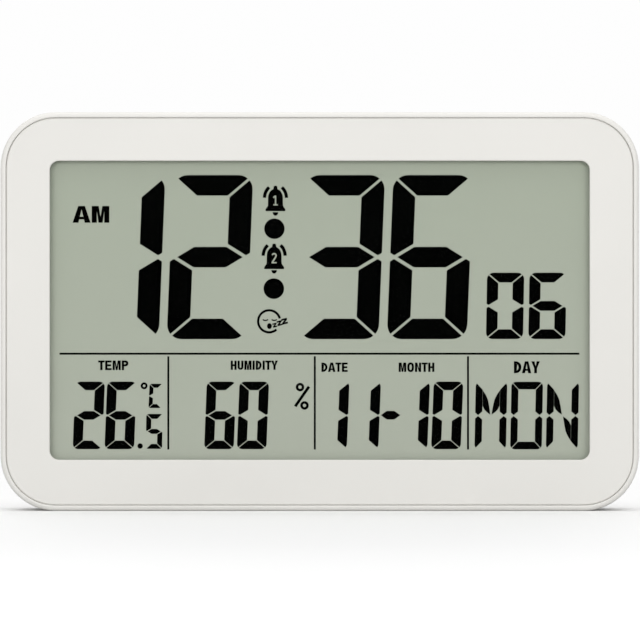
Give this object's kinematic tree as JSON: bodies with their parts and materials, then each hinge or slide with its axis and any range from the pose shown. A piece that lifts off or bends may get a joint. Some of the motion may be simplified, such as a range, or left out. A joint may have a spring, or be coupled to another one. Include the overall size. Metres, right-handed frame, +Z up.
{
  "type": "thermometer hygrometer clock",
  "caption": "Slim rounded desk and wall clock with a large reflective segment display for time, temperature, humidity and date, a fold-out stand and keyholes behind.",
  "frame": {"origin": "middle of the case's footprint, on the surface it stands on", "axes": "+X across the face to the reader's right, -Y out of the face, +Z up"},
  "size_m": [0.22, 0.026, 0.1374],
  "materials": {
    "case_white": "fine satin grain, warm white",
    "key_grey": "satin, mid grey",
    "window_clear": "polished clear acrylic",
    "adhesive_black": "matt foam adhesive",
    "display_face": "grey-green polariser film",
    "segment_black": "dark liquid crystal segments",
    "display_glass": "thin float glass",
    "reflector_film": "brushed reflector film",
    "holder_black": "moulded black",
    "strip_rubber": "striped silicone",
    "board_green": "green lacquered laminate",
    "chip_black": "black moulding resin",
    "ceramic_tan": "unglazed",
    "can_sleeve": "shrink sleeve",
    "screw_zinc": "zinc plated",
    "cell_jacket": "plain printed jacket",
    "contact_nickel": "nickel plated",
    "sounder_brass": "rolled brass",
    "sensor_white": "white sensor cap",
    "plunger_white": "white nylon",
    "lead_red": "soft insulation",
    "lead_black": "soft insulation"
  },
  "bodies": {
    "root": {"front_bezel": "case_white", "rear_shell": "case_white", "window_lens": "window_clear", "window_tape": "adhesive_black", "lcd_polariser": "display_face", "lcd_front_glass": "display_glass", "lcd_rear_glass": "display_glass", "lcd_reflector": "reflector_film", "lcd_holder": "holder_black", "contact_strip": "strip_rubber", "main_board": "board_green", "controller_blob": "chip_black", "clock_crystal": "contact_nickel", "chip_resistors": "chip_black", "chip_capacitors": "ceramic_tan", "filter_capacitor": "can_sleeve", "switch_bodies": "chip_black", "case_screws": "screw_zinc", "holder_screws": "screw_zinc", "board_screws": "screw_zinc", "upper_battery": "cell_jacket", "lower_battery": "cell_jacket", "positive_contact": "contact_nickel", "negative_contact": "contact_nickel", "bridge_contact": "contact_nickel", "contact_springs": "contact_nickel", "sounder_disc": "sounder_brass", "sounder_ceramic": "ceramic_tan", "sensor_board": "board_green", "humidity_sensor": "sensor_white", "temperature_bead": "can_sleeve", "battery_leads": "lead_red", "sounder_leads": "lead_black", "sensor_leads": "lead_black"},
    "stand": {"rear_stand": "case_white"},
    "door": {"battery_door": "case_white"},
    "mode_key": {"mode_button": "key_grey", "mode_plunger": "plunger_white"},
    "set_key": {"set_button": "key_grey", "set_plunger": "plunger_white"},
    "up_key": {"up_button": "key_grey", "up_plunger": "plunger_white"},
    "down_key": {"down_button": "key_grey", "down_plunger": "plunger_white"},
    "alarm_key": {"alarm_button": "key_grey", "alarm_plunger": "plunger_white"}
  },
  "joints": [
    {"name": "stand_hinge", "type": "hinge", "parent": "root", "child": "stand", "pos_m": [0, 0.0108, 0.072], "axis": [1, 0, 0], "range_deg": [0, 32]},
    {"name": "door_hinge", "type": "hinge", "parent": "root", "child": "door", "pos_m": [0.069, 0.0129, 0.0432], "axis": [-1, 0, 0], "range_deg": [0, 70]},
    {"name": "mode_press", "type": "slide", "parent": "root", "child": "mode_key", "axis": [0, -1, 0], "range_m": [0, 0.0004], "stiffness_N_per_m": 1500, "springref_m": -0.0003},
    {"name": "set_press", "type": "slide", "parent": "root", "child": "set_key", "axis": [0, -1, 0], "range_m": [0, 0.0004], "stiffness_N_per_m": 1500, "springref_m": -0.0003},
    {"name": "up_press", "type": "slide", "parent": "root", "child": "up_key", "axis": [0, -1, 0], "range_m": [0, 0.0004], "stiffness_N_per_m": 1500, "springref_m": -0.0003},
    {"name": "down_press", "type": "slide", "parent": "root", "child": "down_key", "axis": [0, -1, 0], "range_m": [0, 0.0004], "stiffness_N_per_m": 1500, "springref_m": -0.0003},
    {"name": "alarm_press", "type": "slide", "parent": "root", "child": "alarm_key", "axis": [0, -1, 0], "range_m": [0, 0.0004], "stiffness_N_per_m": 1500, "springref_m": -0.0003}
  ]
}
